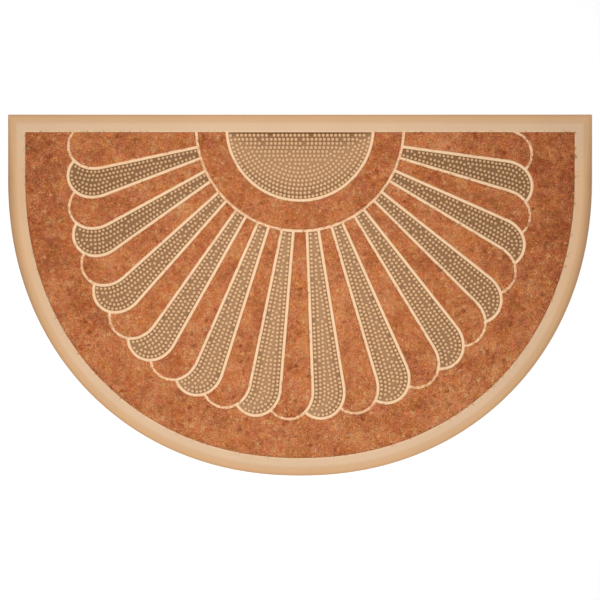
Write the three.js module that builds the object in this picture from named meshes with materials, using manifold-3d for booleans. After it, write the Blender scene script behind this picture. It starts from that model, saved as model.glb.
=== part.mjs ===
// Half-round doormat. A rubber base is moulded in one piece, with a bevelled edge, a flat rim, raised ridges in a
// sunburst and slightly sunken panels between them. Coir pile is bonded into the deeper fields that the ridges leave.
// Millimetres, +Z up. The origin is on the floor under the middle of the mat, and +Y points to the straight edge.
import * as THREE from "three";
import { mergeVertices } from "three/addons/utils/BufferGeometryUtils.js";
import Module from "manifold-3d";

const wasm = await Module();
wasm.setup();

// Outline: a straight edge, two straight sides and one full curve.
const matWidth = 990;
const matDepth = 612;
const straightSide = 108; // of each side, before the curve begins
const curveFullness = 2.12; // exponent of the curve: 2 is an ellipse, and more is squarer
const curveSteps = 64;

// Edge and heights of the moulding.
const bevelWidth = 16;
const rimWidth = 15;
const edgeHeight = 2; // of the upright face around the outside
const rimHeight = 10.5; // the ridges are as high as the rim
const floorHeight = 3; // rubber under the coir
const panelHeight = 8.5; // rubber under the studs
const pileHeight = 12; // the coir stands a little above the rim
const seatGap = 0.3; // between the coir and the rubber around it

// Sunburst. Its middle lies under the rim. Angles are in degrees about it, from 0 at the left to 180 at the right.
const sunMiddle = new THREE.Vector2(0, 284);
const sunRadius = 124; // to the middle of its ridge
const ringRadius = 175.5;
const ridgeWidth = 6;
const firstRay = 14.2; // middle of the first studded ray, where it leaves the ring
const rayPitch = 13.8;
const rootSpread = 6.4; // between the two sides of a studded ray there
const lastSide = 178.6; // of the last coir ray, just under the rim
const capHalfWidth = 44.5; // the full curve that rounds the end of a ray is half an ellipse
const capDepth = 49.5;
const sideMargin = 103.5; // from the ends of the rays to the mat's sides
const footMargin = 96; // from the ends of the rays to the foot of the mat's curve
const capSteps = 10;
const hoopSteps = 56; // around a whole circle

// Outer ends of the studded rays, from left to right. spread is the angle between a ray's two sides where its cap
// begins, and lean is how far it has swung from its place at the ring, because the moulding is a little uneven.
const studdedRays = [
  { spread: 7.6, lean: 1.1 },
  { spread: 6.6, lean: 2.1 },
  { spread: 6.6, lean: 1.9 },
  { spread: 6.2, lean: 1.2 },
  { spread: 6.2, lean: 0 },
  { spread: 6.7, lean: -0.8 },
  { spread: 6.8, lean: -0.8 },
  { spread: 7.1, lean: -0.3 },
  { spread: 6.8, lean: 0.1 },
  { spread: 6.4, lean: 0 },
  { spread: 6.8, lean: 0.2 },
  { spread: 7.6, lean: 0.9 },
];
const lastLean = 0.6;

const halfWidth = matWidth / 2;
const halfDepth = matDepth / 2;
const curveMiddle = halfDepth - straightSide;
const curveDepth = matDepth - straightSide;
const borderWidth = bevelWidth + rimWidth;
const cutDepth = 40; // more than the mat's thickness, for shapes that cut

function toSolid(geometry) {
  geometry.deleteAttribute("normal");
  geometry.deleteAttribute("uv");
  const merged = mergeVertices(geometry, 1e-4);
  return new wasm.Manifold(
    new wasm.Mesh({
      numProp: 3,
      vertProperties: merged.attributes.position.array,
      triVerts: new Uint32Array(merged.index.array),
    }),
  );
}

function toGeometry(solid) {
  const { vertProperties, triVerts } = solid.getMesh();
  const geometry = new THREE.BufferGeometry();
  geometry.setAttribute("position", new THREE.BufferAttribute(vertProperties, 3));
  geometry.setIndex(new THREE.BufferAttribute(triVerts, 1));
  return geometry;
}

// A shape stood up between two heights.
function slab(shape, bottom, top, arcSteps = 12) {
  const geometry = new THREE.ExtrudeGeometry(shape, {
    depth: top - bottom,
    bevelEnabled: false,
    curveSegments: arcSteps,
  });
  geometry.translate(0, 0, bottom);
  return toSolid(geometry);
}

function union(solids) {
  return solids.reduce((joined, solid) => joined.add(solid));
}

// The mat's outline, drawn in by some distance along its normals.
function matOutline(inset) {
  const side = halfWidth - inset;
  const points = [
    new THREE.Vector2(side, halfDepth - inset),
    new THREE.Vector2(-side, halfDepth - inset),
  ];
  for (let i = 0; i <= curveSteps; i++) {
    const turn = (Math.PI * i) / curveSteps;
    const across = -Math.sign(Math.cos(turn)) * Math.abs(Math.cos(turn)) ** (2 / curveFullness);
    const down = Math.sin(turn) ** (2 / curveFullness);
    const normal = new THREE.Vector2(
      (Math.sign(across) * Math.abs(across) ** (curveFullness - 1)) / halfWidth,
      -(down ** (curveFullness - 1)) / curveDepth,
    ).normalize();
    points.push(
      new THREE.Vector2(across * halfWidth, curveMiddle - down * curveDepth).addScaledVector(normal, -inset),
    );
  }
  return new THREE.Shape(points);
}

function aboutSun(angle, radius) {
  const turn = THREE.MathUtils.degToRad(angle);
  return new THREE.Vector2(-Math.cos(turn), -Math.sin(turn)).multiplyScalar(radius).add(sunMiddle);
}

// How far the rays reach at an angle: to a curve inside the mat's outline.
function reach(angle) {
  let inside = ringRadius;
  let outside = matWidth;
  while (outside - inside > 0.01) {
    const radius = (inside + outside) / 2;
    const point = aboutSun(angle, radius);
    const across = Math.abs(point.x) / (halfWidth - sideMargin);
    const down = Math.max(curveMiddle - point.y, 0) / (curveDepth - footMargin);
    if (across ** curveFullness + down ** curveFullness < 1) inside = radius;
    else outside = radius;
  }
  return inside;
}

// A side is the ridge between two neighbouring rays. It runs straight out from the ring, then rounds the end of the
// ray on its left in half an ellipse, until it tucks under the rounded end of the side before it.
function makeSide(root, outer) {
  const halfAngle = THREE.MathUtils.radToDeg(capHalfWidth / reach(outer));
  return { root, outer, halfAngle, tip: reach(outer - halfAngle) };
}

// turn goes from 0, where the cap begins, to half a circle.
function capAngle(side, turn) {
  return side.outer - side.halfAngle * (1 - Math.cos(turn));
}

function capRadius(side, turn) {
  return side.tip - capDepth * (1 - Math.sin(turn));
}

function turnAt(side, angle) {
  return Math.acos(THREE.MathUtils.clamp(1 - (side.outer - angle) / side.halfAngle, -1, 1));
}

function capArc(side, lastTurn) {
  const points = [];
  for (let i = 0; i <= capSteps; i++) {
    const turn = (lastTurn * i) / capSteps;
    points.push(aboutSun(capAngle(side, turn), capRadius(side, turn)));
  }
  return points;
}

// The turn at which a side's cap goes under the one before it. The first side runs on under the rim.
function tuckTurn(side, before) {
  if (!before) return Math.PI;
  let clear = 0;
  let covered = Math.PI;
  while (covered - clear > 1e-4) {
    const turn = (clear + covered) / 2;
    const angle = capAngle(side, turn);
    const isUnder = angle < before.outer && capRadius(side, turn) < capRadius(before, turnAt(before, angle));
    if (isUnder) covered = turn;
    else clear = turn;
  }
  return clear;
}

function sideLine(side, before) {
  return [aboutSun(side.root, ringRadius), ...capArc(side, tuckTurn(side, before))];
}

// The two sides of each studded ray in turn, then the one under the rim that ends the last coir ray.
function allSides() {
  const sides = [];
  studdedRays.forEach(({ spread, lean }, i) => {
    const middle = firstRay + rayPitch * i;
    for (const edge of [-0.5, 0.5]) {
      sides.push(makeSide(middle + edge * rootSpread, middle + lean + edge * spread));
    }
  });
  sides.push(makeSide(lastSide, lastSide + lastLean));
  return sides;
}

// A strip of even width along a line of points.
function strip(points, width) {
  const left = [];
  const right = [];
  points.forEach((point, i) => {
    const before = points[Math.max(i - 1, 0)];
    const after = points[Math.min(i + 1, points.length - 1)];
    const along = after.clone().sub(before).normalize();
    const across = new THREE.Vector2(-along.y, along.x).multiplyScalar(width / 2);
    left.push(point.clone().add(across));
    right.push(point.clone().sub(across));
  });
  return new THREE.Shape([...left, ...right.reverse()]);
}

function disc(radius) {
  return new THREE.Shape().absarc(sunMiddle.x, sunMiddle.y, radius, 0, 2 * Math.PI, false);
}

function hoop(radius, width) {
  const shape = disc(radius + width / 2);
  shape.holes.push(new THREE.Path().absarc(sunMiddle.x, sunMiddle.y, radius - width / 2, 0, 2 * Math.PI, true));
  return shape;
}

const sides = allSides();

// Every ridge as one solid, of a chosen width.
function ridges(width) {
  const lines = sides.map((side, i) => slab(strip(sideLine(side, sides[i - 1]), width), -1, cutDepth));
  const hoops = [sunRadius, ringRadius].map((radius) => slab(hoop(radius, width), -1, cutDepth, hoopSteps));
  return union([...lines, ...hoops]);
}

// The whole of one ray from the sun's middle, between the middles of the ridges on its two sides.
function rayShape(i) {
  const side = sides[i];
  const before = sides[i - 1];
  const points = [sunMiddle.clone(), ...sideLine(side, before)];
  if (before) {
    const tuckAngle = capAngle(side, tuckTurn(side, before));
    const edgeOfBefore = capArc(before, turnAt(before, tuckAngle));
    points.push(...edgeOfBefore.reverse(), aboutSun(before.root, ringRadius));
  }
  return new THREE.Shape(points);
}

// A plate with a bevel around its top. Half of it stands below the floor, and is cut off.
function bevelledPlate() {
  const bevelHeight = rimHeight - edgeHeight;
  const geometry = new THREE.ExtrudeGeometry(matOutline(0), {
    depth: 2 * edgeHeight,
    bevelThickness: bevelHeight,
    bevelSize: bevelWidth,
    bevelOffset: -bevelWidth,
    bevelSegments: 1,
  });
  geometry.translate(0, 0, -edgeHeight);
  const floor = new THREE.BoxGeometry(2 * matWidth, 2 * matDepth, cutDepth);
  floor.translate(0, 0, -cutDepth / 2);
  return toSolid(geometry).subtract(toSolid(floor));
}

const thinRidges = ridges(ridgeWidth);
const wideRidges = ridges(ridgeWidth + 2 * seatGap);
const rays = sides.map((side, i) => slab(rayShape(i), -1, cutDepth));
const wholeRing = slab(disc(ringRadius), -1, cutDepth, hoopSteps);
const wholeSun = slab(disc(sunRadius), -1, cutDepth, hoopSteps);

// Coir rays and studded rays take turns, with coir first and last.
const isCoir = (i) => i % 2 === 0;

function rubberBase() {
  const field = slab(matOutline(borderWidth), floorHeight, cutDepth);
  const upToPanels = new THREE.BoxGeometry(2 * matWidth, 2 * matDepth, cutDepth);
  upToPanels.translate(0, 0, panelHeight - cutDepth / 2);
  const panels = union([wholeSun, ...rays.filter((ray, i) => !isCoir(i)).map((ray) => ray.subtract(wholeRing))]);
  const raised = panels.intersect(toSolid(upToPanels));
  return bevelledPlate().subtract(field.subtract(thinRidges).subtract(raised));
}

const pileField = slab(matOutline(borderWidth + seatGap), floorHeight + seatGap, pileHeight);

function coirBorder() {
  return pileField.subtract(union([...rays, wholeRing])).subtract(wideRidges);
}

function coirRing() {
  return pileField.intersect(wholeRing).subtract(wholeSun).subtract(wideRidges);
}

function coirRay(i) {
  return pileField.intersect(rays[i]).subtract(wholeRing).subtract(wideRidges);
}

const rubber = new THREE.MeshStandardMaterial({ color: 0xdcb88c, roughness: 0.62, metalness: 0 });
const coir = new THREE.MeshStandardMaterial({ color: 0xb56c3e, roughness: 0.95, metalness: 0 });

const mat = new THREE.Group();

function addPiece(name, solid, material) {
  const mesh = new THREE.Mesh(toGeometry(solid), material);
  mesh.name = name;
  mat.add(mesh);
}

addPiece("rubber_base", rubberBase(), rubber);
addPiece("coir_border", coirBorder(), coir);
addPiece("coir_ring", coirRing(), coir);
let coirCount = 0;
sides.forEach((side, i) => {
  if (!isCoir(i)) return;
  coirCount += 1;
  addPiece(`coir_ray_${String(coirCount).padStart(2, "0")}`, coirRay(i), coir);
});

export default mat;
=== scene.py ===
import bpy
import numpy as np
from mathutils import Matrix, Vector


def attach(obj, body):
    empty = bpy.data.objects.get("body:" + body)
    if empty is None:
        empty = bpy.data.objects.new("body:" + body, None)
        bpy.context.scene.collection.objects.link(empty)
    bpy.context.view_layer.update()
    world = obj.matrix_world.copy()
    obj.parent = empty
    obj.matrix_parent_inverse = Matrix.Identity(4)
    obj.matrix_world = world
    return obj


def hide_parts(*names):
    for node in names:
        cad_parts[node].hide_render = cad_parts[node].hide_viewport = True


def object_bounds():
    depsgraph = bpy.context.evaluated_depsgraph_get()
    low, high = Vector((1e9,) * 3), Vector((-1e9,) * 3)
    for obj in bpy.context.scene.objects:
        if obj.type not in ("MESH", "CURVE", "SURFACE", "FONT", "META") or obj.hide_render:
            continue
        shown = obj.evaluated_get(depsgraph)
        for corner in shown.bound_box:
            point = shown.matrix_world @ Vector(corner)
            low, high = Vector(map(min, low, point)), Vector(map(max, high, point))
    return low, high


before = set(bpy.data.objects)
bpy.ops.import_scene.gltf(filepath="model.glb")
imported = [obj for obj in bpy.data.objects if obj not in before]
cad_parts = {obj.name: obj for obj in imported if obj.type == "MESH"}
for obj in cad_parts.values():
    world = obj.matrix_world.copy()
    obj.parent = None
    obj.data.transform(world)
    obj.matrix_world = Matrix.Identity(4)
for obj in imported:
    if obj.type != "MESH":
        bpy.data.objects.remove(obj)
cad_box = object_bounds()

# Rubber tray. One flat plate of tan rubber is moulded with a raised border: a bevel outside, a flat rim, and
# a wall down to the floor that carries the coir. The ridges, the studs and the coir all stand on this floor.
HALF_WIDTH = cad_box[1].x
HALF_DEPTH = cad_box[1].y
STRAIGHT_SIDE = 0.108
CURVE_FULLNESS = 2.12
CURVE_MIDDLE = HALF_DEPTH - STRAIGHT_SIDE
CURVE_DEPTH = 2 * HALF_DEPTH - STRAIGHT_SIDE
CURVE_STEPS = 260

BEVEL_WIDTH = 0.016
BORDER_WIDTH = 0.031
LIP_WIDTH = 0.004
FLOOR_STRIP = 0.002
EDGE_HEIGHT = 0.002
RIM_HEIGHT = 0.0105
FLOOR_HEIGHT = 0.003

# Relief runs from 0 in the recesses, in painted shade, to 1 on the crests, which carry a painted highlight.
# The border loses a share of it at the mat's two sides, as painted shade there, and none along the straight
# edge.
BEVEL_RELIEF = 0.5
RIM_RELIEF = 0.8
LIP_RELIEF = 0.08
WALL_RELIEF = 0.6
UNDER_RELIEF = 0.35
BORDER_SIDE_SHADE = 0.25
SIDE_POWER = 6

# Relief up the outside of the border, as pairs of a height and the relief there. Its low start at the foot
# is painted shade along the mat's outer edge.
BORDER_RELIEF = [
    (0, 0.34),
    (EDGE_HEIGHT, 0.41),
    (EDGE_HEIGHT + 0.0016, 0.475),
    (RIM_HEIGHT - 0.0006, 0.66),
    (RIM_HEIGHT, RIM_RELIEF),
]

# Tones along the relief: the recess and flank tones are painted shade, the crest tone a painted highlight.
RUBBER_RECESS_SHADE = (108, 73, 38)
RUBBER_FLANK_SHADE = (142, 106, 73)
RUBBER_BEVEL = (197, 155, 113)
RUBBER_RIM = (193, 162, 131)
RUBBER_CREST_HIGHLIGHT = (215, 180, 142)


def linear(colour):
    """A colour given as 0 to 255 in sRGB, as linear red, green, blue and alpha."""
    share = np.array(colour) / 255
    curved = np.where(share <= 0.04045, share / 12.92, ((share + 0.055) / 1.055) ** 2.4)
    return (*curved, 1.0)


def mat_outline(inset):
    """The mat's outline moved in along its normals. Below the straight sides it is |x/a|^n + |y/b|^n = 1."""
    turn = np.linspace(0, np.pi, CURVE_STEPS + 1)
    share = np.abs(np.cos(turn)) ** (2 / CURVE_FULLNESS)
    across = -np.sign(np.cos(turn)) * share
    down = np.clip(np.sin(turn), 0, 1) ** (2 / CURVE_FULLNESS)
    normal = np.stack(
        [
            np.sign(across) * share ** (CURVE_FULLNESS - 1) / HALF_WIDTH,
            -(down ** (CURVE_FULLNESS - 1)) / CURVE_DEPTH,
        ],
        axis=1,
    )
    normal /= np.linalg.norm(normal, axis=1, keepdims=True)
    curve = np.stack([across * HALF_WIDTH, CURVE_MIDDLE - down * CURVE_DEPTH], axis=1) - inset * normal
    side = HALF_WIDTH - inset
    edge = HALF_DEPTH - inset
    return np.concatenate([[(side, edge), (-side, edge)], curve])


def rounded(corners, spans, steps=5):
    """A line with its inner corners rounded: each becomes a quadratic curve between points a span away."""
    line = [corners[:1]]
    share = np.linspace(0, 1, steps)[:, None]
    for before, corner, after, span in zip(corners, corners[1:], corners[2:], spans):
        start = corner + span * (before - corner) / np.linalg.norm(before - corner)
        end = corner + span * (after - corner) / np.linalg.norm(after - corner)
        line.append((1 - share) ** 2 * start + 2 * share * (1 - share) * corner + share**2 * end)
    line.append(corners[-1:])
    return np.concatenate(line)


def grid_faces(rows, columns, wrap=False):
    """The four-sided faces of a grid of points in rows. wrap joins the last column to the first."""
    row = np.arange(rows - 1)[:, None] * columns
    column = np.arange(columns if wrap else columns - 1)[None]
    near = row + column
    far = row + (column + 1) % columns
    return np.stack([near, far, far + columns, near + columns], axis=-1).reshape(-1, 4)


def fan_faces(loop, middle):
    """Triangles from a middle point to each step of a closed loop."""
    return np.stack([loop, np.roll(loop, -1), np.full_like(loop, middle)], axis=1)


def make_mesh(name, points, face_sets, values):
    """A mesh from points (n, 3), sets of faces as arrays of point numbers, and named values of the points."""
    mesh = bpy.data.meshes.new(name)
    corners = np.concatenate([faces.ravel() for faces in face_sets])
    sizes = np.concatenate([np.full(len(faces), faces.shape[1]) for faces in face_sets])
    mesh.vertices.add(len(points))
    mesh.loops.add(len(corners))
    mesh.polygons.add(len(sizes))
    mesh.vertices.foreach_set("co", points.astype(np.float32).ravel())
    mesh.loops.foreach_set("vertex_index", corners.astype(np.int32))
    mesh.polygons.foreach_set("loop_start", (np.cumsum(sizes) - sizes).astype(np.int32))
    for key, value in values.items():
        attribute = mesh.attributes.new(key, "FLOAT", "POINT")
        attribute.data.foreach_set("value", value.astype(np.float32))
    mesh.update(calc_edges=True)
    return mesh


def add_piece(name, mesh, material):
    """A piece of the mat as an object that rides on the mat's one body."""
    mesh.materials.append(material)
    piece = bpy.data.objects.new(name, mesh)
    bpy.context.scene.collection.objects.link(piece)
    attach(piece, "root")
    return piece


def shade(mesh, sharp_degrees):
    """Smooth shading that stays crisp where two faces meet at more than an angle."""
    mesh.shade_smooth()
    mesh.set_sharp_from_angle(angle=np.radians(sharp_degrees))


class Nodes:
    """A new material's nodes, added and joined with short calls."""

    def __init__(self, name, roughness):
        self.material = bpy.data.materials.new(name)
        self.material.use_nodes = True
        self.tree = self.material.node_tree
        self.shader = self.tree.nodes["Principled BSDF"]
        self.shader.inputs["Roughness"].default_value = roughness
        self.place = self.add("ShaderNodeTexCoord").outputs["Object"]

    def add(self, kind, settings=None, **inputs):
        """A new node. Each input is a number, a colour or another node's output."""
        node = self.tree.nodes.new(kind)
        for key, value in (settings or {}).items():
            setattr(node, key, value)
        for key, value in inputs.items():
            self.put(node.inputs[key.replace("_", " ")], value)
        return node

    def put(self, socket, value):
        """Joins another node's output to a socket, or sets the socket to a plain value."""
        if isinstance(value, bpy.types.NodeSocket):
            self.tree.links.new(value, socket)
        else:
            socket.default_value = value

    def noise(self, scale, detail, roughness=0.5):
        """Cloudy noise from 0 to 1 at the place on the mat, with scale clouds to a metre."""
        inputs = {"Vector": self.place, "Scale": scale, "Detail": detail, "Roughness": roughness}
        return self.add("ShaderNodeTexNoise", **inputs).outputs["Fac"]

    def attribute(self, name):
        """A value that the mesh holds at each of its points."""
        return self.add("ShaderNodeAttribute", {"attribute_name": name}).outputs["Fac"]

    def ramp(self, value, stops):
        """A colour for each value: stops are pairs of a value and a colour."""
        node = self.add("ShaderNodeValToRGB", Fac=value)
        elements = node.color_ramp.elements
        while len(elements) < len(stops):
            elements.new(0.5)
        for element, (position, colour) in zip(elements, stops):
            element.position = position
            element.color = linear(colour)
        return node.outputs["Color"]

    def scale(self, value, low, high):
        """A value from 0 to 1 spread between two limits."""
        return self.add("ShaderNodeMapRange", Value=value, To_Min=low, To_Max=high).outputs["Result"]

    def times(self, colour, value):
        """A colour made lighter or darker by a value around 1."""
        node = self.add("ShaderNodeVectorMath", {"operation": "SCALE"}, Vector=colour, Scale=value)
        return node.outputs["Vector"]

    def plus(self, first, second):
        """The sum of two values."""
        node = self.add("ShaderNodeMath", {"operation": "ADD"})
        self.put(node.inputs[0], first)
        self.put(node.inputs[1], second)
        return node.outputs["Value"]

    def mix(self, share, first, second):
        """The first colour where the share is 0, the second where it is 1."""
        node = self.add("ShaderNodeMix", {"data_type": "RGBA"})
        self.put(node.inputs["Factor"], share)
        self.put(node.inputs[6], first)
        self.put(node.inputs[7], second)
        return node.outputs[2]

    def bump(self, height, distance):
        """A fine grain: the surface seems to rise by the height times a distance."""
        node = self.add("ShaderNodeBump", Height=height, Distance=distance)
        self.tree.links.new(node.outputs["Normal"], self.shader.inputs["Normal"])

    def colour(self, value):
        """Gives the surface its colour."""
        self.tree.links.new(value, self.shader.inputs["Base Color"])


def moulded_rubber():
    """Matt tan rubber: painted shade low in the relief, a painted highlight on crests, a slow drift, fine
    specks and a faint grain.
    """
    nodes = Nodes("moulded rubber", roughness=0.62)
    nodes.shader.inputs["Specular IOR Level"].default_value = 0.2
    tone = nodes.ramp(
        nodes.attribute("relief"),
        [
            (0.0, RUBBER_RECESS_SHADE),
            (0.25, RUBBER_FLANK_SHADE),
            (BEVEL_RELIEF, RUBBER_BEVEL),
            (RIM_RELIEF, RUBBER_RIM),
            (1.0, RUBBER_CREST_HIGHLIGHT),
        ],
    )
    drift = nodes.scale(nodes.noise(scale=9, detail=3), 0.93, 1.07)
    specks = nodes.scale(nodes.noise(scale=420, detail=3, roughness=0.7), 0.93, 1.07)
    nodes.colour(nodes.times(nodes.times(tone, drift), specks))
    nodes.bump(nodes.noise(scale=900, detail=4, roughness=0.6), distance=0.0002)
    return nodes.material


def rubber_tray():
    """A closed surface: the border's section carried round the outline, and fans for floor and underside."""
    corners = np.array(
        [
            (0, 0),
            (0, EDGE_HEIGHT),
            (BEVEL_WIDTH, RIM_HEIGHT),
            (BORDER_WIDTH - LIP_WIDTH, RIM_HEIGHT),
            (BORDER_WIDTH, RIM_HEIGHT),
            (BORDER_WIDTH, FLOOR_HEIGHT),
            (BORDER_WIDTH + FLOOR_STRIP, FLOOR_HEIGHT),
        ]
    )
    section = rounded(corners, spans=(0.0012, 0.0025, 0.001, 0.0012, 0.001))
    relief = np.interp(section[:, 1], *np.transpose(BORDER_RELIEF))
    # The rim grows lighter towards its inner edge, a painted highlight there.
    relief += LIP_RELIEF * np.clip((section[:, 0] - BORDER_WIDTH + LIP_WIDTH) / (0.6 * LIP_WIDTH), 0, 1)
    is_wall = section[:, 0] >= BORDER_WIDTH - 0.0001
    # The wall's relief falls towards the floor: painted shade.
    relief[is_wall] = np.interp(section[is_wall, 1], [FLOOR_HEIGHT, RIM_HEIGHT], [0, WALL_RELIEF])
    around = CURVE_STEPS + 3
    rows = [np.column_stack([mat_outline(inset), np.full(around, height)]) for inset, height in section]
    underneath, floor = len(rows) * around, len(rows) * around + 1
    points = np.concatenate([*rows, [(0, 0, 0), (0, 0, FLOOR_HEIGHT)]])
    first_loop = np.arange(around)
    last_loop = first_loop + (len(rows) - 1) * around
    faces = [
        grid_faces(len(rows), around, wrap=True),
        fan_faces(first_loop[::-1], underneath),
        fan_faces(last_loop, floor),
    ]
    # Painted shade towards the mat's two sides: the relief falls there.
    side_shade_share = np.abs(np.stack(rows)[..., 0] / HALF_WIDTH) ** SIDE_POWER
    side_shade_share[:, :2] = 0  # the two corners of the straight edge
    relief = relief[:, None] * (1 - BORDER_SIDE_SHADE * side_shade_share)
    values = {"relief": np.concatenate([relief.ravel(), [UNDER_RELIEF, 0]])}
    mesh = make_mesh("rubber_tray", points, faces, values)
    shade(mesh, sharp_degrees=30)
    return mesh


rubber = moulded_rubber()
tray = add_piece("rubber_tray", rubber_tray(), rubber)
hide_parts("rubber_base")


# Ridges. Rounded ribs of the same rubber, moulded with the tray, draw the sunburst: one round the sun, one
# round the ring, and one down each side of each ray. That one rounds the ray's end and tucks under the one
# before it.
SUN_MIDDLE = np.array([0, 0.284])
SUN_RADIUS = 0.124
RING_RADIUS = 0.1755
RIDGE_HALF = 0.003
RIDGE_HEIGHT = 0.0104
RIDGE_CROWN = 0.002
SUNK = 0.0005
FIRST_RAY = 14.2
RAY_PITCH = 13.8
ROOT_SPREAD = 6.4
LAST_SIDE = (178.6, 179.2)
CAP_HALF_WIDTH = 0.0445
CAP_DEPTH = 0.0495
SIDE_MARGIN = 0.1035
FOOT_MARGIN = 0.096
LINE_STEPS = 16
CAP_STEPS = 26
HOOP_STEPS = 121
TUCK_STEPS = 4000

# Relief up a ridge, as pairs of a height and the relief there: painted shade down its flanks and a painted
# highlight on its crown.
RIDGE_RELIEF = [
    (FLOOR_HEIGHT, 0),
    (RIDGE_HEIGHT - RIDGE_CROWN, 0.5),
    (RIDGE_HEIGHT - 0.6 * RIDGE_CROWN, 0.8),
    (RIDGE_HEIGHT - 0.2 * RIDGE_CROWN, 1),
]

# Outer ends of the studded rays, from left to right, in degrees: the angle between a ray's two sides where
# its cap begins, and how far it has swung from its place at the ring.
RAY_ENDS = np.array(
    [
        (7.6, 1.1),
        (6.6, 2.1),
        (6.6, 1.9),
        (6.2, 1.2),
        (6.2, 0.0),
        (6.7, -0.8),
        (6.8, -0.8),
        (7.1, -0.3),
        (6.8, 0.1),
        (6.4, 0.0),
        (6.8, 0.2),
        (7.6, 0.9),
    ],
    dtype=[("spread", float), ("lean", float)],
)


def about_sun(angle, radius):
    """Points at angles in degrees, from 0 at the left, and radii about the sun's middle."""
    turn = np.radians(angle)
    return np.stack([-np.cos(turn), -np.sin(turn)], axis=-1) * np.asarray(radius)[..., None] + SUN_MIDDLE


def reach(angle):
    """How far the rays reach at an angle: the radius, found by halving, where |x/a|^n + |y/b|^n = 1."""
    inside, outside = RING_RADIUS, 2 * HALF_WIDTH
    for _ in range(30):
        radius = (inside + outside) / 2
        x, y = about_sun(angle, radius)
        across = abs(x) / (HALF_WIDTH - SIDE_MARGIN)
        down = max(CURVE_MIDDLE - y, 0) / (CURVE_DEPTH - FOOT_MARGIN)
        if across**CURVE_FULLNESS + down**CURVE_FULLNESS < 1:
            inside = radius
        else:
            outside = radius
    return inside


class Side:
    """The ridge on a ray's right side: straight out from the ring, then an ellipse in angle and radius."""

    def __init__(self, root, outer):
        self.root = root
        self.outer = outer
        self.half = np.degrees(CAP_HALF_WIDTH / reach(outer))
        self.tip = reach(outer - self.half)

    def angle(self, turn):
        """The cap's angle at a turn, from the ray's side at 0 round to the far side at a half turn."""
        return self.outer - self.half * (1 - np.cos(turn))

    def radius(self, turn):
        """The cap's radius at a turn, furthest out at a quarter turn."""
        return self.tip - CAP_DEPTH * (1 - np.sin(turn))

    def turn_at(self, angle):
        """The turn at which the cap has an angle, the opposite of the function angle."""
        return np.arccos(np.clip(1 - (self.outer - angle) / self.half, -1, 1))

    def path(self, last_turn, skip=0.0):
        """The side's middle line to a turn of its cap, from the ring or from a length further out."""
        turn = np.linspace(0, last_turn, CAP_STEPS)
        cap = about_sun(self.angle(turn), self.radius(turn))
        start = about_sun(self.root, RING_RADIUS)
        first_share = skip / np.linalg.norm(cap[0] - start)
        share = np.linspace(first_share, 1, LINE_STEPS, endpoint=False)[:, None]
        return np.concatenate([start + share * (cap[0] - start), cap])


def all_sides():
    """The two sides of each studded ray, then the side under the rim that ends the last coir ray."""
    middle = FIRST_RAY + RAY_PITCH * np.arange(len(RAY_ENDS))
    sides = []
    for root, end in zip(middle, RAY_ENDS):
        for edge in (-0.5, 0.5):
            sides.append(Side(root + edge * ROOT_SPREAD, root + end["lean"] + edge * end["spread"]))
    return [*sides, Side(*LAST_SIDE)]


def tuck_turn(side, before):
    """The turn at which a cap goes under the one before it, found on a fine row of turns."""
    turn = np.linspace(0, np.pi, TUCK_STEPS)
    angle = side.angle(turn)
    is_under = (angle < before.outer) & (side.radius(turn) < before.radius(before.turn_at(angle)))
    return turn[np.argmax(is_under)]


def across(path):
    """The unit vectors across a path, to the left of its run."""
    along = np.gradient(path, axis=0)
    along /= np.linalg.norm(along, axis=1, keepdims=True)
    return np.stack([-along[:, 1], along[:, 0]], axis=1)


def rib(path, section):
    """A closed rib: a section of offsets and heights carried along a path, with flat ends."""
    offset, height = section.T
    flat = path[:, None] + across(path)[:, None] * offset[None, :, None]
    points = np.concatenate([flat, np.broadcast_to(height[:, None], (*flat.shape[:2], 1))], axis=2)
    count = len(section)
    loop = np.arange(count)
    ends = np.stack([loop[::-1], loop + (len(path) - 1) * count])
    return points.reshape(-1, 3), grid_faces(len(path), count, wrap=True)[:, ::-1], ends[:, ::-1]


def ridge_section():
    """Offsets and heights of half an ellipse on two upright flanks, down into the floor."""
    turn = np.linspace(0, np.pi, 11)
    crown = np.column_stack([RIDGE_HALF * np.cos(turn), RIDGE_HEIGHT - RIDGE_CROWN * (1 - np.sin(turn))])
    foot = FLOOR_HEIGHT - SUNK
    return np.concatenate([[(RIDGE_HALF, foot)], crown, [(-RIDGE_HALF, foot)]])


def join(parts):
    """Several sets of points and faces as one, with the faces renumbered."""
    points, quads, ends = [], [], []
    count = 0
    for part_points, part_quads, part_ends in parts:
        points.append(part_points)
        quads.append(part_quads + count)
        ends.append(part_ends + count)
        count += len(part_points)
    return np.concatenate(points), [np.concatenate(quads), np.concatenate(ends)]


def ridges_mesh(paths):
    """A rib along each path, all in one mesh, with relief by height."""
    section = ridge_section()
    points, faces = join([rib(path, section) for path in paths])
    relief = np.interp(points[:, 2], *np.transpose(RIDGE_RELIEF))
    mesh = make_mesh("ridges", points, faces, {"relief": relief})
    shade(mesh, sharp_degrees=50)
    return mesh


sides = all_sides()
tucks = [np.pi] + [tuck_turn(side, before) for before, side in zip(sides, sides[1:])]
half_circle = np.linspace(0, 180, HOOP_STEPS)
hoops = [about_sun(half_circle, radius) for radius in (SUN_RADIUS, RING_RADIUS)]
side_paths = [side.path(tuck) for side, tuck in zip(sides, tucks)]
rim_edge = HALF_DEPTH - BORDER_WIDTH
under_rim = rim_edge + 0.008
rim_line = rim_edge + RIDGE_HALF
ridge_paths = [path[path[:, 1] < under_rim] for path in [*hoops, *side_paths]]
add_piece("ridges", ridges_mesh(ridge_paths), rubber)


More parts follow.
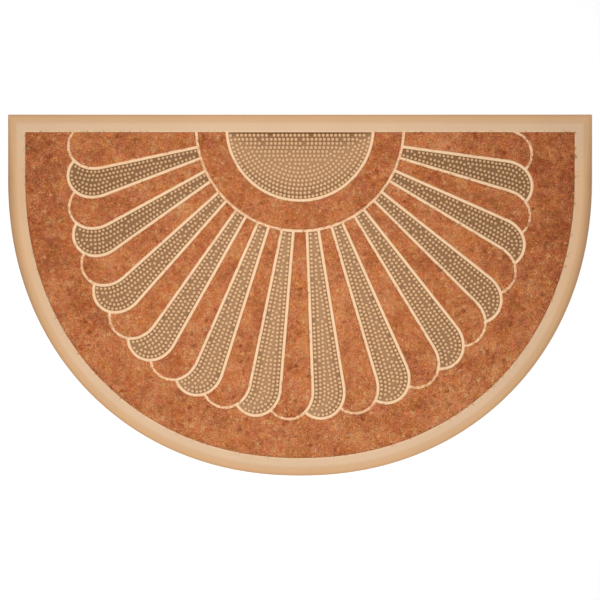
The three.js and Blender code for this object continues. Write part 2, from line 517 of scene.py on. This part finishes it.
# Studded panels. Twelve of the rays and the half sun have a raised rubber floor with rows of small blunt
# studs, moulded with the tray. The rows follow the panel's own outline, one inside the other.
PANEL_HEIGHT = 0.0083
STUD_PITCH = 0.0069
STUD_RADIUS = 0.0031
STUD_SIDES = 10
STUD_SECTION = [(1.0, PANEL_HEIGHT), (0.88, 0.0095), (0.52, 0.0101)]
STUD_TOP = 0.0103
FIRST_ROW = RIDGE_HALF + STUD_RADIUS
SUN_FIRST_ROW = 0.0057
SUN_STEPS = 90
OUTLINE_STEP = 0.001
ROW_LIMIT = 40

# Two studs are never nearer to each other than this share of the pitch.
CROWDED = 0.9

# Relief of a panel's floor and of its studs' crowns: on the sun, on a ray in the middle, and on a ray at one
# of the two sides. The floor's low relief is painted shade between the studs and the crowns' a painted
# highlight; the rays at the sides get more painted shade.
SUN_RELIEF = np.array([0.31, 0.53])
MIDDLE_RAY_RELIEF = np.array([0.3, 0.53])
END_RAY_RELIEF = np.array([0.08, 0.44])


def ray_edges(i, skip=0.0):
    """The middle lines of the ridges at the left and right of ray i, from the ring to where they meet."""
    right = sides[i].path(tucks[i], skip)
    if i == 0:
        visible = right[right[:, 1] < rim_edge]
        along_rim = np.linspace(-RING_RADIUS - skip, visible[-1, 0], len(visible))
        return np.column_stack([along_rim, np.full(len(visible), rim_line)]), visible
    before = sides[i - 1]
    left = before.path(before.turn_at(sides[i].angle(tucks[i])), skip)
    right[:, 1] = np.minimum(right[:, 1], rim_line)
    return left, right


def ruled(left, right, columns, inset=0.0):
    """A grid of points on straight lines from one edge to the other, kept an inset away from both.

    Lines that are too short for that are left out.
    """
    width = np.linalg.norm(right - left, axis=1)
    keep = width > 2.4 * inset + 0.0005
    left, right, width = left[keep], right[keep], width[keep]
    first = (inset / width)[:, None, None]
    share = first + (1 - 2 * first) * np.linspace(0, 1, columns)[None, :, None]
    return left[:, None] * (1 - share) + right[:, None] * share


def block(grid, top, bottom):
    """A closed block: a grid of points in plan at the top's height, the same grid below, and walls round."""
    rows, columns = grid.shape[:2]
    count = rows * columns
    flat = grid.reshape(-1, 2)
    points = np.concatenate([np.column_stack([flat, np.full(count, height)]) for height in (top, bottom)])
    number = np.arange(count).reshape(rows, columns)
    rim = np.concatenate([number[0], number[1:, -1], number[-1, -2::-1], number[-2:0:-1, 0]])
    after = np.roll(rim, -1)
    over = grid_faces(rows, columns)
    walls = np.stack([rim, rim + count, after + count, after], axis=1)
    faces = np.concatenate([over, over[:, ::-1] + count, walls])
    a, b, c = (flat[over[:, k]] for k in range(3))
    turned = np.sum((b - a)[:, 0] * (c - a)[:, 1] - (b - a)[:, 1] * (c - a)[:, 0]) < 0
    return points, faces[:, ::-1] if turned else faces


def even_steps(loop, step):
    """A closed loop as points an even step apart."""
    closed = np.concatenate([loop, loop[:1]])
    length = np.concatenate([[0], np.cumsum(np.linalg.norm(np.diff(closed, axis=0), axis=1))])
    at = np.arange(0, length[-1], step)
    return np.column_stack([np.interp(at, length, closed[:, k]) for k in range(2)])


def is_inside(points, loop):
    """Whether each point is inside a loop: a line to its right crosses the loop an odd number of times."""
    inside = np.zeros(len(points), bool)
    x, y = points.T
    for (x1, y1), (x2, y2) in zip(loop, np.roll(loop, -1, axis=0)):
        if y1 == y2:
            continue
        crosses = (y1 > y) != (y2 > y)
        inside ^= crosses & (x < x1 + (x2 - x1) * (y - y1) / (y2 - y1))
    return inside


def filled(places, loop, pitch, first_row):
    """Places with more added in the gaps between them: always at the spare spot furthest from any stud."""
    edge = even_steps(loop, OUTLINE_STEP)
    x, y = (np.arange(loop[:, k].min(), loop[:, k].max(), pitch / 5) for k in range(2))
    spots = np.stack(np.meshgrid(x, y), axis=-1).reshape(-1, 2)
    spots = spots[is_inside(spots, loop)]
    spots = spots[np.min(np.linalg.norm(spots[:, None] - edge[None], axis=2), axis=1) > first_row]
    nearest = np.min(np.linalg.norm(spots[:, None] - places[None], axis=2), axis=1)
    while nearest.max() > CROWDED * pitch:
        spot = spots[np.argmax(nearest)]
        places = np.concatenate([places, [spot]])
        nearest = np.minimum(nearest, np.linalg.norm(spots - spot, axis=1))
    return places


def stud_places(loop, pitch, first_row):
    """Places in rows inside a loop: each row is the loop moved in, less what comes nearer to it than that."""
    fine = even_steps(loop, OUTLINE_STEP)
    along = np.roll(fine, -1, axis=0) - np.roll(fine, 1, axis=0)
    along /= np.linalg.norm(along, axis=1, keepdims=True)
    inward = np.stack([-along[:, 1], along[:, 0]], axis=1)
    area = np.sum(fine[:, 0] * np.roll(fine[:, 1], -1) - np.roll(fine[:, 0], -1) * fine[:, 1])
    inward *= np.sign(area)
    places = []
    for row in range(ROW_LIMIT):
        distance = first_row + row * pitch
        moved = fine + inward * distance
        nearest = np.min(np.linalg.norm(moved[:, None] - fine[None], axis=2), axis=1)
        kept = moved[nearest > distance - 0.2 * OUTLINE_STEP]
        if len(kept) < 3:
            break
        run = np.cumsum(np.linalg.norm(np.diff(kept, axis=0, prepend=kept[:1]), axis=1))
        step = np.floor(run / pitch + 0.5 * (row % 2))
        places.append(kept[np.diff(step, prepend=-1) > 0])
    places = np.concatenate(places)
    apart = np.linalg.norm(places[:, None] - places[None], axis=2)
    is_crowded = np.tril(apart < CROWDED * pitch, k=-1).any(axis=1)
    return filled(places[~is_crowded], loop, pitch, first_row)


def studs_mesh(name, places, relief_ends):
    """Blunt cones at places: rings of points about each, with a point on top and a flat base."""
    turn = 2 * np.pi * np.arange(STUD_SIDES) / STUD_SIDES
    circle = np.stack([np.cos(turn), np.sin(turn)], axis=1) * STUD_RADIUS
    rings = [np.column_stack([circle * share, np.full(STUD_SIDES, height)]) for share, height in STUD_SECTION]
    stud = np.concatenate([*rings, [(0, 0, STUD_TOP)]])
    top_loop = np.arange(STUD_SIDES) + (len(rings) - 1) * STUD_SIDES
    sides_of_stud = grid_faces(len(rings), STUD_SIDES, wrap=True)
    caps = fan_faces(top_loop, len(stud) - 1)
    base = np.arange(STUD_SIDES)[None, ::-1]
    shift = np.arange(len(places))[:, None, None] * len(stud)
    points = stud[None] + np.column_stack([places, np.zeros(len(places))])[:, None]
    faces = [(part[None] + shift).reshape(-1, part.shape[1]) for part in (sides_of_stud, caps, base)]
    # Relief rises from painted shade at each stud's foot to a painted highlight on its top.
    relief = np.interp(points[..., 2], [PANEL_HEIGHT + 0.0003, STUD_TOP - 0.0003], relief_ends).ravel()
    mesh = make_mesh(name, points.reshape(-1, 3), faces, {"relief": relief})
    mesh.shade_smooth()
    return mesh


def panel_piece(name, grid, relief):
    """A raised floor over a grid. Its relief falls with the cube of the way from its middle to a ridge:
    painted shade beside the ridges.
    """
    rows, columns = grid.shape[:2]
    points, faces = block(grid, PANEL_HEIGHT, FLOOR_HEIGHT - SUNK)
    from_middle = np.abs(np.linspace(-1, 1, columns))
    on_top = np.tile(relief * (1 - from_middle**3), rows)
    values = {"relief": np.concatenate([on_top, np.zeros(on_top.size)])}
    add_piece(name, make_mesh(name, points, [faces], values), rubber)


for number, i in enumerate(range(1, len(sides), 2), start=1):
    left, right = ray_edges(i)
    # Painted shade: the rays towards the mat's two sides are darker.
    towards_middle = np.sin(np.radians(sides[i].root)) ** 2
    relief = END_RAY_RELIEF + (MIDDLE_RAY_RELIEF - END_RAY_RELIEF) * towards_middle
    panel_piece(f"ray_panel_{number:02d}", ruled(left, right, columns=9), relief[0])
    places = stud_places(np.concatenate([left, right[::-1]]), STUD_PITCH, FIRST_ROW)
    name = f"ray_studs_{number:02d}"
    add_piece(name, studs_mesh(name, places, relief), rubber)

sun_top = rim_edge + 0.001
first_angle = np.degrees(np.arcsin((SUN_MIDDLE[1] - sun_top) / SUN_RADIUS))
sun_arc = about_sun(np.linspace(first_angle, 180 - first_angle, SUN_STEPS), SUN_RADIUS)
sun_chord = np.column_stack([sun_arc[:, 0], np.full(SUN_STEPS, sun_top)])
panel_piece("sun_panel", ruled(sun_chord[1:-1], sun_arc[1:-1], columns=17), SUN_RELIEF[0])
sun_loop = np.concatenate([sun_arc, [sun_chord[-1], sun_chord[0]]])
sun_places = stud_places(sun_loop, STUD_PITCH, SUN_FIRST_ROW)
add_piece("sun_studs", studs_mesh("sun_studs", sun_places, SUN_RELIEF), rubber)


# Coir pile. Short coconut fibres are bonded into each recess between the ridges and brushed up until they
# stand a little above the rubber. Each field is a flat bed with thousands of fibres on it, in small tufts.
FIBRE_PITCH = 0.00116
FIBRE_HALF_WIDTH = 0.00078
FIBRE_ROOT = 0.0090
FIBRE_LEAN = 0.0021
FIBRE_UNEVENNESS = 0.0003
TUFT_PITCH = 0.0054
TUFT_LEAN = 0.0046
TUFT_GATHER = 0.25
TUFT_CROWN = 0.0009
TUFT_KEY = 20000
PILE_HEIGHT = 0.0117
BED_HEIGHT = 0.0095
COIR_GAP = 0.0003
EDGE_INSET = RIDGE_HALF + COIR_GAP
ROOT_GAP = 0.0004
RAGGED_EDGE = 0.0017
RAGGED_SHARE = 0.45
OVERGROWN_SHARE = 0.6
SEED = 11

# Tint runs from 0, the deepest tone, to 1, the palest. The bed's low tint is painted shade under the fibres.
# The tuft numbers are the shares of pale and dark tufts and how far their tint is from the others'. Below the
# shade height everything is in painted shade, and above the lit height it has its own tone.
BED_SHADE_TINT = 0.12
DARKENING_TINT = 0.2
TUFT_TINT = 0.44
FIBRE_TINT = 0.06
PALE_TUFTS = 0.03
PALE_STEP = 0.35
DARK_TUFTS = 0.02
DARK_STEP = 0.3
SHADE_HEIGHT = 0.0078
LIT_HEIGHT = 0.0104

# The colour of the painted shade low in the pile.
COIR_SHADE = (138, 75, 38)
COIR_DEEP = (178, 96, 50)
COIR_MIDDLE = (240, 157, 98)
COIR_PALE = (253, 202, 141)

# Painted shade darkens the pile more and more between two distances outwards from the middle, and between two
# places up towards the straight edge. The right side has more of it than the left. The ring is made a little
# darker too.
SIDE_SHADE_ACROSS = (0.3, 0.45)
SIDE_SHADE_UP = (-0.18, 0.12)
SIDE_SHADE_RIGHT = 0.3
RING_DARKENING = 0.27

random = np.random.default_rng(SEED)


def cell_noise(cells):
    """Two steady random numbers from 0 to 1 for each whole-numbered cell: the fraction of a large sine."""
    mixed = cells @ np.array([[127.1, 269.5], [311.7, 183.3]])
    return np.modf(np.abs(np.sin(mixed) * 43758.5453))[0]


def nearest_tuft(points):
    """The middle of the tuft nearest to each point, its distance, and two random numbers for that tuft."""
    cell = np.floor(points / TUFT_PITCH)
    best = np.full(len(points), np.inf)
    middle = np.zeros_like(points)
    own = np.zeros_like(points)
    for shift in np.ndindex(3, 3):
        near = cell + np.array(shift) - 1
        chance = cell_noise(near)
        place = (near + chance) * TUFT_PITCH
        distance = np.linalg.norm(place - points, axis=1)
        closer = distance < best
        best = np.where(closer, distance, best)
        middle[closer] = place[closer]
        own[closer] = chance[closer]
    return middle, best, own


def scattered(low, high):
    """Points of a square grid between two corners, each moved at random within its own square."""
    x, y = (np.arange(low[k], high[k], FIBRE_PITCH) for k in range(2))
    grid = np.stack(np.meshgrid(x, y), axis=-1).reshape(-1, 2)
    return grid + random.uniform(0, FIBRE_PITCH, grid.shape)


def thinned(places, is_near_edge, is_over_ridge):
    """Places with some of the tufts along the edges and some of the fibres over a ridge left out."""
    own = nearest_tuft(places)[2]
    is_tuft_kept = own[:, 0] > RAGGED_SHARE
    is_fibre_kept = random.uniform(size=len(places)) < OVERGROWN_SHARE
    return places[(~is_near_edge | is_tuft_kept) & (~is_over_ridge | is_fibre_kept)]


def side_shade_and_ring_darkening(points):
    """How much the pile is darkened: painted shade, most in the two upper corners, and a little more
    darkening in the ring.
    """
    x, y = points[:, 0], points[:, 1]
    side_shade_share = np.interp(np.abs(x), SIDE_SHADE_ACROSS, (0, 1))
    towards_edge = np.interp(y, SIDE_SHADE_UP, (0, 1))
    in_ring = np.linalg.norm(points[:, :2] - SUN_MIDDLE, axis=1) < RING_RADIUS
    return side_shade_share * towards_edge * (1 + SIDE_SHADE_RIGHT * np.sign(x)) + RING_DARKENING * in_ring


def fibres(places):
    """Thin three-sided spikes. Each leans with its tuft, towards the tuft's middle, and a little at random.

    A tuft is highest in its middle. Each has a tone of its own, and a few are a step paler or darker.
    """
    count = len(places)
    middle, distance, own = nearest_tuft(places)
    tuft_lean = TUFT_GATHER * (middle - places) + TUFT_LEAN * (own - 0.5)
    lean = tuft_lean + random.normal(0, FIBRE_LEAN, (count, 2))
    crown = 1 - np.clip(distance / TUFT_PITCH, 0, 1)
    height = PILE_HEIGHT + TUFT_CROWN * (crown - 0.55) + random.normal(0, FIBRE_UNEVENNESS, count)
    turn = random.uniform(0, 2 * np.pi, count)[:, None] + np.array([0, 2, 4]) * np.pi / 3
    width = FIBRE_HALF_WIDTH * random.uniform(0.7, 1.3, count)[:, None]
    points = np.empty((count, 4, 3))
    points[:, :3, 0] = places[:, :1] + width * np.cos(turn)
    points[:, :3, 1] = places[:, 1:] + width * np.sin(turn)
    points[:, :3, 2] = FIBRE_ROOT
    points[:, 3, :2] = places + lean
    points[:, 3, 2] = height
    corner = np.arange(count)[:, None] * 4
    spike = [(0, 1, 3), (1, 2, 3), (2, 0, 3), (2, 1, 0)]
    faces = np.concatenate([corner + np.array(face) for face in spike])
    tuft_tone = cell_noise(np.round(middle * TUFT_KEY))[:, 0] - 0.5
    is_pale, is_dark = tuft_tone > 0.5 - PALE_TUFTS, tuft_tone < DARK_TUFTS - 0.5
    odd_tuft = PALE_STEP * is_pale - DARK_STEP * is_dark
    tint = np.clip(0.5 + TUFT_TINT * tuft_tone + odd_tuft + random.normal(0, FIBRE_TINT, count), 0, 1)
    return points.reshape(-1, 3), faces, np.repeat(tint, 4)


def coir_material():
    """Dry matt fibre: a tone for each fibre, with painted shade down between the tufts and slow drifts over
    the mat.
    """
    nodes = Nodes("coir pile", roughness=0.88)
    nodes.shader.inputs["Specular IOR Level"].default_value = 0.25
    drift = nodes.scale(nodes.noise(scale=22, detail=4, roughness=0.6), -0.48, 0.48)
    flecks = nodes.scale(nodes.noise(scale=280, detail=2), -0.42, 0.42)
    level = nodes.plus(nodes.plus(nodes.attribute("tint"), drift), flecks)
    tone = nodes.ramp(level, [(0.0, COIR_DEEP), (0.5, COIR_MIDDLE), (1.0, COIR_PALE)])
    hue = nodes.scale(nodes.noise(scale=75, detail=3), 0.48, 0.52)
    saturation = nodes.scale(nodes.noise(scale=50, detail=3), 0.92, 1.08)
    tone = nodes.add("ShaderNodeHueSaturation", Hue=hue, Saturation=saturation, Color=tone).outputs["Color"]
    # Painted shade: dark below the shade height, rising to the fibre's own tone at the lit height.
    height = nodes.add("ShaderNodeSeparateXYZ", Vector=nodes.place).outputs["Z"]
    limits = {"From_Min": SHADE_HEIGHT, "From_Max": LIT_HEIGHT}
    out_of_shade = nodes.add("ShaderNodeMapRange", Value=height, **limits).outputs["Result"]
    nodes.colour(nodes.mix(out_of_shade, linear(COIR_SHADE), tone))
    nodes.bump(nodes.noise(scale=1500, detail=3), distance=0.0003)
    return nodes.material


def bake_map(mesh):
    """A flat UV map of the plan, for meshes with too many small faces to unfold."""
    points = np.empty(len(mesh.vertices) * 3, np.float32)
    mesh.vertices.foreach_get("co", points)
    plan = points.reshape(-1, 3)[:, :2]
    low, high = plan.min(axis=0), plan.max(axis=0)
    corners = np.empty(len(mesh.loops), np.int32)
    mesh.loops.foreach_get("vertex_index", corners)
    layer = mesh.uv_layers.new(name="OFBake")
    layer.uv.foreach_set("vector", ((plan[corners] - low) / (high - low).max() * 0.98 + 0.01).ravel())


def pile_piece(name, node, grid, places):
    """One field of coir: a closed bed over a grid, and the fibres that stand at places on it."""
    bed_points, bed_faces = block(grid, BED_HEIGHT, FLOOR_HEIGHT + COIR_GAP)
    fibre_points, fibre_faces, tint = fibres(places)
    points = np.concatenate([bed_points, fibre_points])
    # The bed's tint and the darkening towards the upper corners are painted shade; the ring is a little
    # darker.
    tints = np.concatenate([np.full(len(bed_points), BED_SHADE_TINT), tint]) - DARKENING_TINT * side_shade_and_ring_darkening(points)
    mesh = make_mesh(name, points, [bed_faces, fibre_faces + len(bed_points)], {"tint": tints})
    bake_map(mesh)
    piece = add_piece(name, mesh, coir)
    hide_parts(node)


coir = coir_material()
field_top = rim_edge - COIR_GAP

# The ring of coir round the sun, one field between the two round ridges, cut off straight at the rim. Some of
# its fibres lie over its outer ridge.
RING_COLUMNS = 14
RING_ROWS = 120
ring_radii = np.linspace(SUN_RADIUS + EDGE_INSET, RING_RADIUS - EDGE_INSET, RING_COLUMNS)
ring_start = np.degrees(np.arcsin((SUN_MIDDLE[1] - field_top) / ring_radii))
ring_share = np.linspace(0, 1, RING_ROWS)[:, None]
ring_angle = ring_start + ring_share * (180 - 2 * ring_start)
ring_grid = about_sun(ring_angle, np.broadcast_to(ring_radii, ring_angle.shape))
ring_places = scattered(ring_grid.min(axis=(0, 1)), ring_grid.max(axis=(0, 1)))
from_sun = np.linalg.norm(ring_places - SUN_MIDDLE, axis=1)
from_edge = np.minimum(from_sun - SUN_RADIUS - EDGE_INSET, RING_RADIUS + RIDGE_HALF - from_sun)
is_kept = (from_edge > 0) & (ring_places[:, 1] < field_top)
is_over_ridge = from_sun > RING_RADIUS - RIDGE_HALF
ring_places = thinned(ring_places[is_kept], from_edge[is_kept] < RAGGED_EDGE, is_over_ridge[is_kept])
pile_piece("coir_ring_pile", "coir_ring", ring_grid, ring_places)

# The thirteen coir rays, between the studded ones. Each is its own field, rounded at its outer end.
for number, i in enumerate(range(0, len(sides), 2), start=1):
    left, right = ray_edges(i, skip=EDGE_INSET + ROOT_GAP)
    grid = ruled(left, right, columns=10, inset=EDGE_INSET)
    grid[..., 1] = np.minimum(grid[..., 1], field_top)
    loop = np.concatenate([grid[:, 0], grid[::-1, -1]])
    places = scattered(loop.min(axis=0), loop.max(axis=0))
    places = places[is_inside(places, loop)]
    core = ruled(left, right, columns=2, inset=EDGE_INSET + RAGGED_EDGE)
    is_near_edge = ~is_inside(places, np.concatenate([core[:, 0], core[::-1, -1]]))
    places = thinned(places, is_near_edge, np.zeros(len(places), bool))
    pile_piece(f"coir_ray_pile_{number:02d}", f"coir_ray_{number:02d}", grid, places)

# The wide field between the ends of the rays and the rim, laid in three stretches that meet without a seam.
# Some of its fibres lie over the end ridges of the coir rays.
SECTOR_ENDS = (62, 118)
SECTOR_ROWS = 220
SECTOR_COLUMNS = 10
CORNER_GAP = 0.01


def scallop_radius(angle, overhang):
    """The radius of the rays' ends at each angle: the furthest cap there, less an overhang on coir rays."""
    radius = np.full(np.shape(angle), RING_RADIUS)
    for i, side in enumerate(sides):
        is_cap = (angle <= side.outer) & (angle >= side.outer - 2 * side.half)
        cap = side.radius(side.turn_at(angle)) - overhang * (i % 2 == 0)
        radius = np.where(is_cap, np.maximum(radius, cap), radius)
    return radius


def border_radii(angle, inset, overhang=0.0):
    """The inner and outer radius of the wide field at each angle, an inset away from the ridges and rim."""
    outline = mat_outline(BORDER_WIDTH + COIR_GAP)[1:]
    outline = np.concatenate([outline, [(-outline[0, 0], outline[0, 1])]])
    step = outline - SUN_MIDDLE
    outline_angle = np.degrees(np.arctan2(-step[:, 1], -step[:, 0]))
    outer = np.interp(angle, outline_angle, np.linalg.norm(step, axis=1))
    under_the_rim = (SUN_MIDDLE[1] - field_top) / np.sin(np.radians(angle))
    inner = np.maximum(scallop_radius(angle, overhang) + inset, under_the_rim)
    return np.minimum(inner, outer), outer


corner_angle = np.degrees(np.arctan2(SUN_MIDDLE[1] - field_top, HALF_WIDTH - BORDER_WIDTH - COIR_GAP))
sector_angles = (corner_angle + CORNER_GAP, *SECTOR_ENDS, 180 - corner_angle - CORNER_GAP)
field_places = scattered((-HALF_WIDTH, -HALF_DEPTH), (HALF_WIDTH, HALF_DEPTH))
step = field_places - SUN_MIDDLE
place_angle = np.degrees(np.arctan2(-step[:, 1], -step[:, 0]))
place_radius = np.linalg.norm(step, axis=1)
for name, first, last in zip(("left", "foot", "right"), sector_angles, sector_angles[1:]):
    angle = np.linspace(first, last, SECTOR_ROWS)
    inner, outer = border_radii(angle, EDGE_INSET)
    share = np.linspace(0, 1, SECTOR_COLUMNS)
    grid = about_sun(angle[:, None] + 0 * share, inner[:, None] + (outer - inner)[:, None] * share)
    in_sector = (place_angle >= first) & (place_angle < last)
    places, radius = field_places[in_sector], place_radius[in_sector]
    nearest, furthest = border_radii(place_angle[in_sector], EDGE_INSET)
    over_ridge, _ = border_radii(place_angle[in_sector], EDGE_INSET, overhang=2 * RIDGE_HALF)
    from_edge = np.minimum(radius - over_ridge, furthest - radius)
    is_kept = from_edge > 0
    places = thinned(places[is_kept], from_edge[is_kept] < RAGGED_EDGE, radius[is_kept] < nearest[is_kept])
    pile_piece(f"coir_border_pile_{name}", "coir_border", grid, places)


# Studio. A pale floor, an even white room light and one large soft lamp above the middle of the mat, as in
# a catalogue photograph taken from straight above.
PHOTO_WIDTH = 1.0136
PHOTO_SHIFT = -0.0083
LENS = 85
SENSOR = 36
FLOOR_SIZE = 8
FLOOR_TONE = 0.9
ROOM_LIGHT = 0.72

bpy.ops.mesh.primitive_plane_add(size=FLOOR_SIZE)
floor = bpy.context.object
floor.name = "floor"
floor_nodes = Nodes("pale floor", roughness=0.9)
floor_nodes.shader.inputs["Base Color"].default_value = (FLOOR_TONE, FLOOR_TONE, FLOOR_TONE, 1)
floor.data.materials.append(floor_nodes.material)


def lamp(name, place, size, power):
    """A soft square lamp that points at the middle of the mat."""
    data = bpy.data.lights.new(name, "AREA")
    data.shape = "SQUARE"
    data.size = size
    data.energy = power
    light = bpy.data.objects.new(name, data)
    light.location = place
    light.rotation_euler = (-light.location).to_track_quat("-Z", "Y").to_euler()
    bpy.context.scene.collection.objects.link(light)


lamp("key_lamp", (-0.1, -0.03, 1.1), size=0.7, power=10)

world = bpy.data.worlds.new("white room")
world.use_nodes = True
world.node_tree.nodes["Background"].inputs["Color"].default_value = (1, 1, 1, 1)
world.node_tree.nodes["Background"].inputs["Strength"].default_value = ROOM_LIGHT
bpy.context.scene.world = world
bpy.context.scene.view_settings.view_transform = "Standard"

camera_data = bpy.data.cameras.new("camera")
camera_data.lens = LENS
camera_data.sensor_width = SENSOR
camera = bpy.data.objects.new("camera", camera_data)
camera.location = (0, PHOTO_SHIFT, RIM_HEIGHT + PHOTO_WIDTH * LENS / SENSOR)
bpy.context.scene.collection.objects.link(camera)
bpy.context.scene.camera = camera
